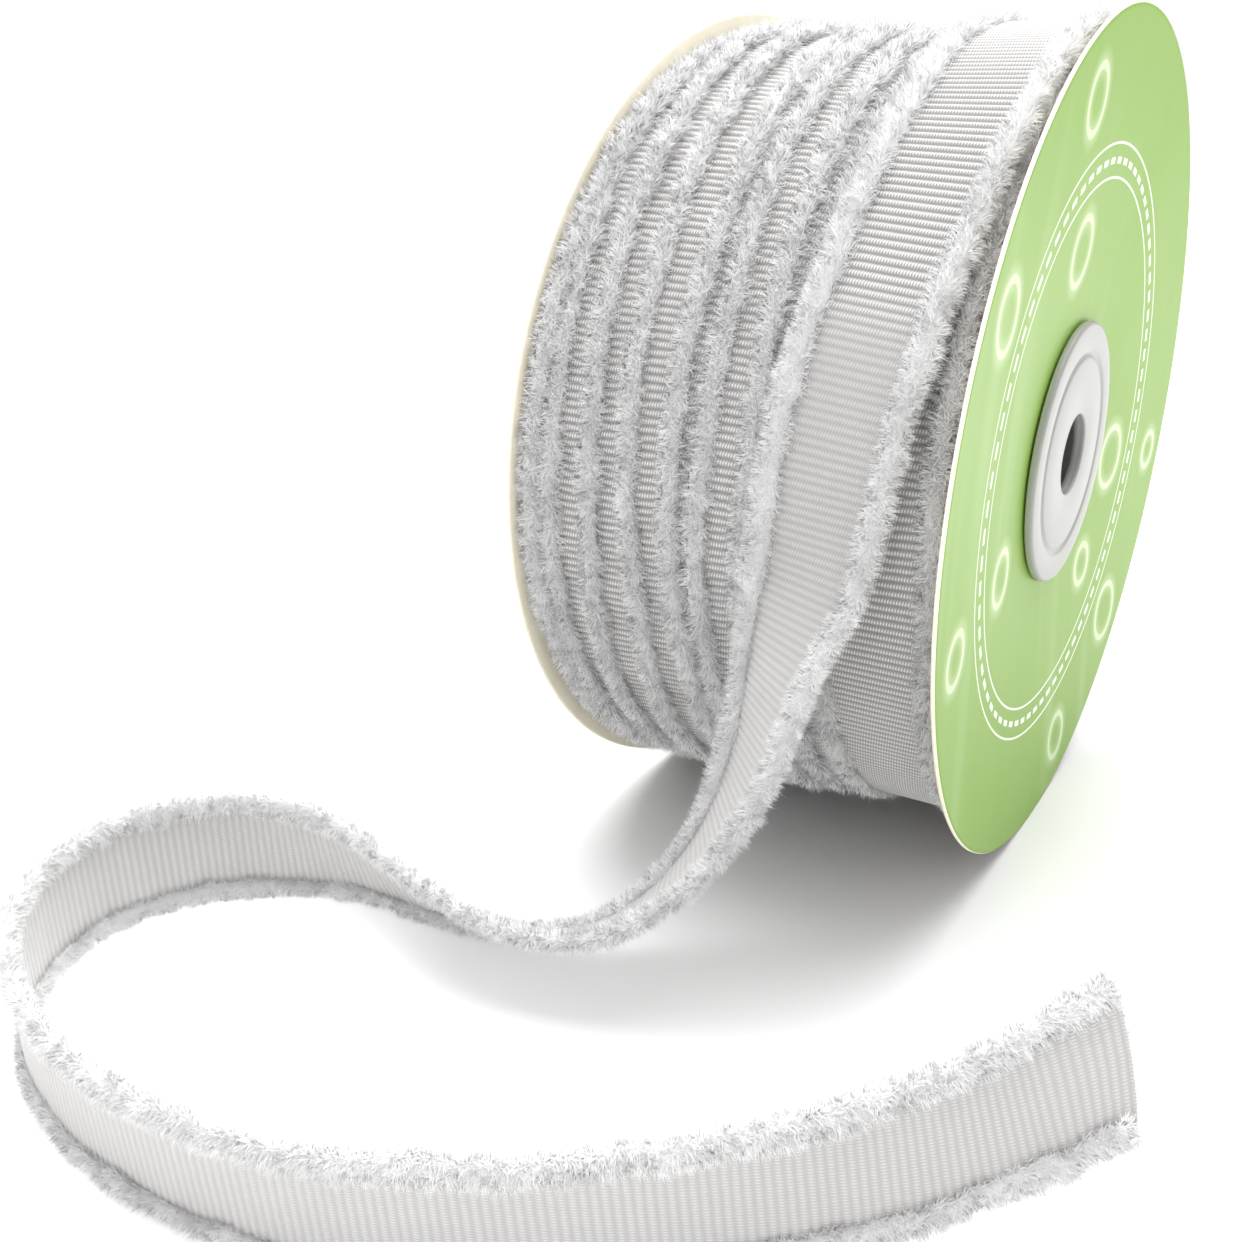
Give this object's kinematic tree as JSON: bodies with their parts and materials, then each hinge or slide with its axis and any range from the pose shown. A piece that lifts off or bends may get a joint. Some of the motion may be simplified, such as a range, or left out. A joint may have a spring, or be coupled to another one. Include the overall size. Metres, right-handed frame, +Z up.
{
  "type": "spool of grosgrain ribbon with fuzzy edges",
  "caption": "Ribbed ribbon with fuzzy edges wound on a flanged spool, its loose end peeling off at the front and curling across the table.",
  "frame": {"origin": "on the table under the middle of the whole, loose end included", "axes": "+X along the spool's axis towards the right flange, the one whose outer face the picture shows; -Y towards the loose end; +Z up"},
  "size_m": [0.113, 0.1644, 0.1014],
  "materials": {
    "flange_card": "light green print on the outer faces, cream card inside and on the cut edge",
    "hub_plastic": "off-white moulded plastic, smooth and slightly glossy",
    "ribbon": "off-white grosgrain: fine cross ribs, with a fluffy edge along both sides"
  },
  "bodies": {
    "root": {"flange_right": "flange_card", "flange_left": "flange_card", "hub": "hub_plastic", "ribbon_roll": "ribbon", "ribbon_tail": "ribbon"}
  },
  "joints": []
}
